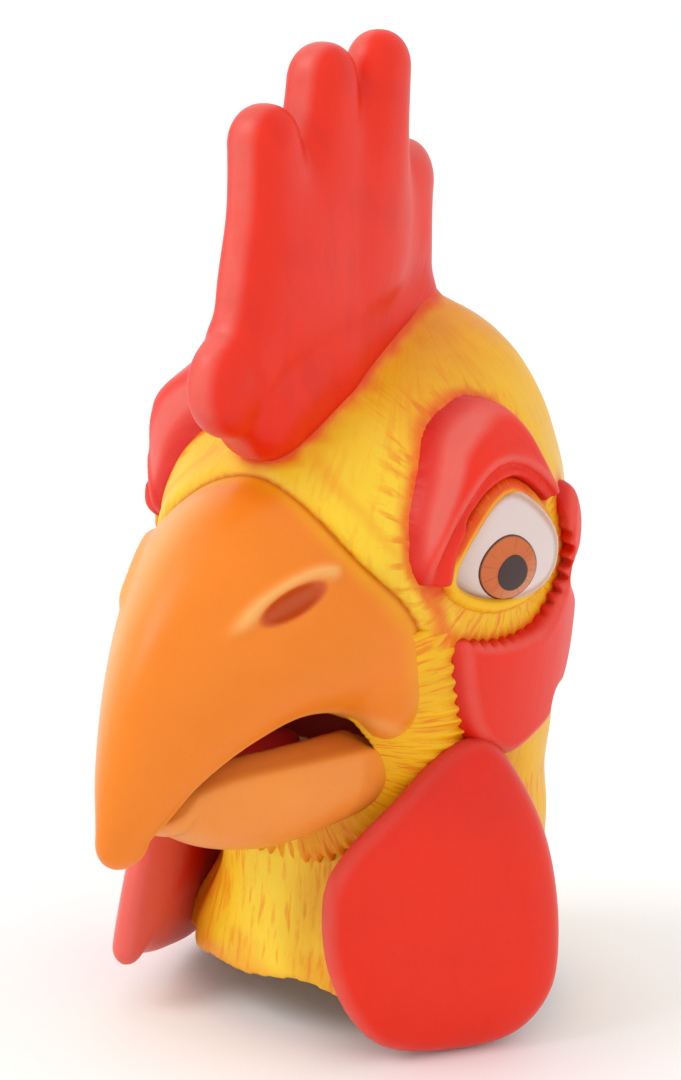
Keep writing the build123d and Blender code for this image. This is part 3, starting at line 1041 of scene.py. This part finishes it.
def eye_point(side, u, v, lift):
    """Point of the head's frame on the eyeball at a place in the eye's plane, lifted off it."""
    a, b, c = EYE_AXES
    w = c * np.sqrt(np.clip(1 - (u / a) ** 2 - (v / b) ** 2, 0.05, 1)) - c
    normal = np.stack([u / a**2, v / b**2, (w + c) / c**2], -1)
    normal /= np.linalg.norm(normal, axis=-1, keepdims=True)
    u, v, w = u + lift * normal[..., 0], v + lift * normal[..., 1], w + lift * normal[..., 2]
    px = EYE_FRONT[0] + u * math.cos(EYE_YAW) + w * math.sin(EYE_YAW)
    py = EYE_FRONT[1] + u * math.sin(EYE_YAW) - w * math.cos(EYE_YAW)
    return np.stack([side * px, py, v + EYE_FRONT[2]], -1)


def disc_faces(rings, spokes):
    """Faces of a closed disc: top rings, bottom rings, then the two middle points."""
    under = rings * spokes
    peak, base = 2 * under, 2 * under + 1
    faces = []
    for s in range(spokes):
        n = (s + 1) % spokes
        faces.append((peak, s, n))
        faces.append((base, under + n, under + s))
        for a in range(0, (rings - 1) * spokes, spokes):
            b = a + spokes
            faces.append((a + s, b + s, b + n, a + n))
            faces.append((under + a + n, under + b + n, under + b + s, under + a + s))
        last = (rings - 1) * spokes
        faces.append((last + s, under + last + s, under + last + n, last + n))
    return faces


def painted_disc(name, side, centre, radii, lift, material, rings=26, spokes=96):
    """Thin raised disc on the eyeball, closed underneath."""
    turn = np.arange(spokes) * 2 * np.pi / spokes
    share = np.arange(1, rings + 1) / rings
    out_u = radii[0] * (1 + 0.05 * np.cos(2 * turn)) * np.cos(turn)
    out_v = radii[1] * (1 + 0.05 * np.sin(turn)) * np.sin(turn)
    u = centre[0] + np.outer(share, out_u)
    v = centre[1] + np.outer(share, out_v)
    rounded = lift * np.sqrt(np.clip(1 - np.clip((share - 0.94) / 0.06, 0, 1) ** 2, 0, 1))
    middle = np.array(centre)[:, None]
    points = np.vstack([
        eye_point(side, u, v, rounded[:, None]).reshape(-1, 3),
        eye_point(side, u, v, DISC_FOOT).reshape(-1, 3),
        eye_point(side, *middle, lift),
        eye_point(side, *middle, DISC_FOOT),
    ])
    faces = [face[::-1] if side < 0 else face for face in disc_faces(rings, spokes)]
    mesh = bpy.data.meshes.new(name)
    mesh.from_pydata([tuple(p * 0.001) for p in points], [], faces)
    share_all = np.concatenate([np.tile(np.repeat(share, spokes), 2), [0, 0]])
    turn_all = np.concatenate([np.tile(turn, 2 * rings), [0, 0]])
    return finish_object(name, mesh, material, {
        "crease": smoothstep(0.93, 0.96, share_all),
        "pale": smoothstep(0.2, 0.9, share_all) * smoothstep(0.0, 1.0, np.cos(turn_all + 0.9)),
        "ray": 1.0,
        "ray_turn": turn_all * 18,
        "ray_out": share_all * 18,
    })


# ---- wattles ----
WATTLE_BOX = {"left": ((4, -150, -26), (140, 20, 150)), "right": ((-135, -150, -26), (-60, 20, 150))}


def wattle_paint(word, x, y, z):
    """Painted pink sheen on the rim; on the right wattle the painted sheen covers the whole outer band,
    which turns away at a glancing angle.
    """
    u, v, _ = wattle_frame(word, x, y, z)
    edge = outline_distance(WATTLE_CURVE[word], u, v)
    # painted sheen in pink: a rim on the left wattle, the glancing outer band on the right one
    sheen_pink = near(np.abs(edge), 7) * 0.6 if word == "left" else 1.5 * smoothstep(-52, -16, edge)
    return {"sheen_pink": sheen_pink, "deep": smoothstep(80, 140, z) * 0.6,
            "ray": 0.5, "ray_turn": u, "ray_out": v}


# ---- all of the objects ----
for name, field, low, high, step, material, paint, body, node, slot_name in (
    ("head_latex", head_skin, (-106, -148, -4), (106, 106, 354), SKIN_STEP, HEAD_PAINT, head_paint,
     "head", "head_skin", "yellow_latex"),
    ("upper_beak_latex", upper_beak, (-82, -236, 88), (82, -44, 286), FINE_STEP, BEAK_PAINT,
     upper_beak_paint, "head", "upper_beak", "orange_latex"),
    ("lower_beak_latex", lower_beak, (-70, -206, 80), (70, -44, 180), FINE_STEP, BEAK_PAINT,
     lower_beak_paint, "jaw", "lower_beak", "orange_latex"),
    ("palate_latex", palate, (-66, -182, 112), (66, -54, 196), FINE_STEP, MOUTH_PAINT, None,
     "head", "palate", "mouth_latex"),
    ("mouth_floor_latex", mouth_floor, (-56, -182, 104), (56, -56, 156), FINE_STEP, MOUTH_PAINT, None,
     "jaw", "mouth_floor", "mouth_latex"),
    ("tongue_latex", tongue_field, (-23, -165, 116), (23, -79, 156), FINE_STEP, TONGUE_PAINT, None,
     "jaw", "tongue", "tongue_latex"),
):
    place(build(name, field, low, high, step, material, paint), body, [node], slot_name)

comb = build("comb_latex", comb_shell, (-26, -178, 264), (26, 34, 490), FINE_STEP, COMB_PAINT, comb_paint)
core = build("comb_foam_core", comb_core, (-24, -176, 264), (24, 32, 488), CORE_STEP, FOAM_PAINT)
for piece, node, slot_name in ((comb, "comb_skin", "red_latex"), (core, "comb_foam", "foam")):
    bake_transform(piece)
    place(piece, None, [node], slot_name)


def backed(field):
    """A relief patch without what lies deeper than its backing."""
    return lambda side, x, y, z: np.maximum(field(side, x, y, z), -(head_field(x, y, z) + BACKING))


# node and ending of the name, field, low and high corner on the left, mesh size, material, paint, slot
SIDE_PIECES = (
    ("brow", "latex", backed(brow_field), (8, -104, 226), (120, 6, 326), FINE_STEP, COMB_PAINT,
     brow_paint, "red_latex"),
    ("ear_patch", "latex", backed(ear_field), (60, -74, 126), (120, 32, 270), FINE_STEP, COMB_PAINT,
     ear_paint, "red_latex"),
    ("feather_collar", "latex", collar_field, (-0.6, -128, 60), (104, -30, 214), FEATHER_STEP,
     FEATHER_PAINT, collar_paint, "feather_latex"),
    ("eyelid", "latex", lid_field, (60, -100, 200), (112, -10, 276), FEATHER_STEP, FEATHER_PAINT,
     lid_paint, "feather_latex"),
    ("eye_shell", "dome", eye_field, (60, -100, 200), (112, -10, 276), EYE_STEP, EYE_PAINT,
     eye_paint, "eye_white"),
)
# node, centre on the eye, half sizes, thickness, material
DISCS = (("iris", (0.2, -5.6), (15.6, 16.4), 0.5, IRIS_PAINT),
         ("pupil", (2.2, -7.6), (8.2, 9.2), 0.9, PUPIL_PAINT))

for side, word in ((1, "left"), (-1, "right")):
    for node, ending, field, low, high, step, material, paint, slot_name in SIDE_PIECES:
        if side < 0:
            low, high = (-high[0], low[1], low[2]), (-low[0], high[1], high[2])
        made = build(f"{node}_{word}_{ending}", partial(field, side), low, high, step, material,
                     partial(paint, side))
        place(made, "head", [f"{node}_{word}"], slot_name)
    for node, centre, radii, lift, material in DISCS:
        made = painted_disc(f"{node}_{word}_disc", side, centre, radii, lift, material)
        place(made, "head", [f"{node}_{word}"], node + "_paint")

    wattle = build(f"wattle_{word}_latex", partial(wattle_field, word), *WATTLE_BOX[word], WATTLE_STEP,
                   COMB_PAINT, partial(wattle_paint, word))
    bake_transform(wattle)
    place(wattle, None, ["wattle_" + word], "red_latex")

# ---- stage, light and camera ---------------------------------------------------
FLOOR_Z = -0.0195            # metres, just under the wattles
FLOOR_HALF = 40
LOOK_AT = Vector((0, -0.04666, 0.2279))
azimuth, height_angle, roll, far = math.radians(33), math.radians(12.5), math.radians(3), 1.25
floor_mesh = bpy.data.meshes.new("floor")
floor_corners = [(a * FLOOR_HALF, b * FLOOR_HALF, FLOOR_Z) for a, b in ((-1, -1), (1, -1), (1, 1), (-1, 1))]
floor_mesh.from_pydata(floor_corners, [], [(0, 1, 2, 3)])
floor_paint = bpy.data.materials.new("floor_white")
floor_paint.use_nodes = True
floor_shader = floor_paint.node_tree.nodes["Principled BSDF"]
floor_shader.inputs["Base Color"].default_value = (0.92, 0.92, 0.92, 1)
floor_shader.inputs["Roughness"].default_value = 0.9
finish_object("floor", floor_mesh, floor_paint, None)

world = bpy.data.worlds.new("studio")
scene.world = world
world.use_nodes = True
world.node_tree.nodes["Background"].inputs[0].default_value = (1, 1, 1, 1)


def sun(name, from_where, strength, softness):
    data = bpy.data.lights.new(name, "SUN")
    data.energy = strength
    data.angle = math.radians(softness)
    made = bpy.data.objects.new(name, data)
    made.location = from_where
    made.rotation_euler = (-Vector(from_where)).to_track_quat("-Z", "Y").to_euler()
    scene.collection.objects.link(made)


sun("key", (-0.9, -1.2, 1.4), 1.0, 30)
sun("fill", (1.6, -1.0, 0.7), 0.2, 60)

towards = Vector((math.sin(azimuth) * math.cos(height_angle), -math.cos(azimuth) * math.cos(height_angle),
                  math.sin(height_angle)))
right = Vector((math.cos(azimuth), math.sin(azimuth), 0))
upward = towards.cross(right)
tilted_right = math.cos(roll) * right + math.sin(roll) * upward
tilted_up = -math.sin(roll) * right + math.cos(roll) * upward
camera_data = bpy.data.cameras.new("photo_view")
camera_data.lens = 83.33
camera = bpy.data.objects.new("photo_view", camera_data)
scene.collection.objects.link(camera)
matrix = camera.matrix_world.copy()
for row in range(3):
    matrix[row][0], matrix[row][1], matrix[row][2] = tilted_right[row], tilted_up[row], towards[row]
    matrix[row][3] = (LOOK_AT + far * towards)[row]
camera.matrix_world = matrix
scene.camera = camera
scene.view_settings.view_transform = "Standard"

bpy.context.view_layer.update()
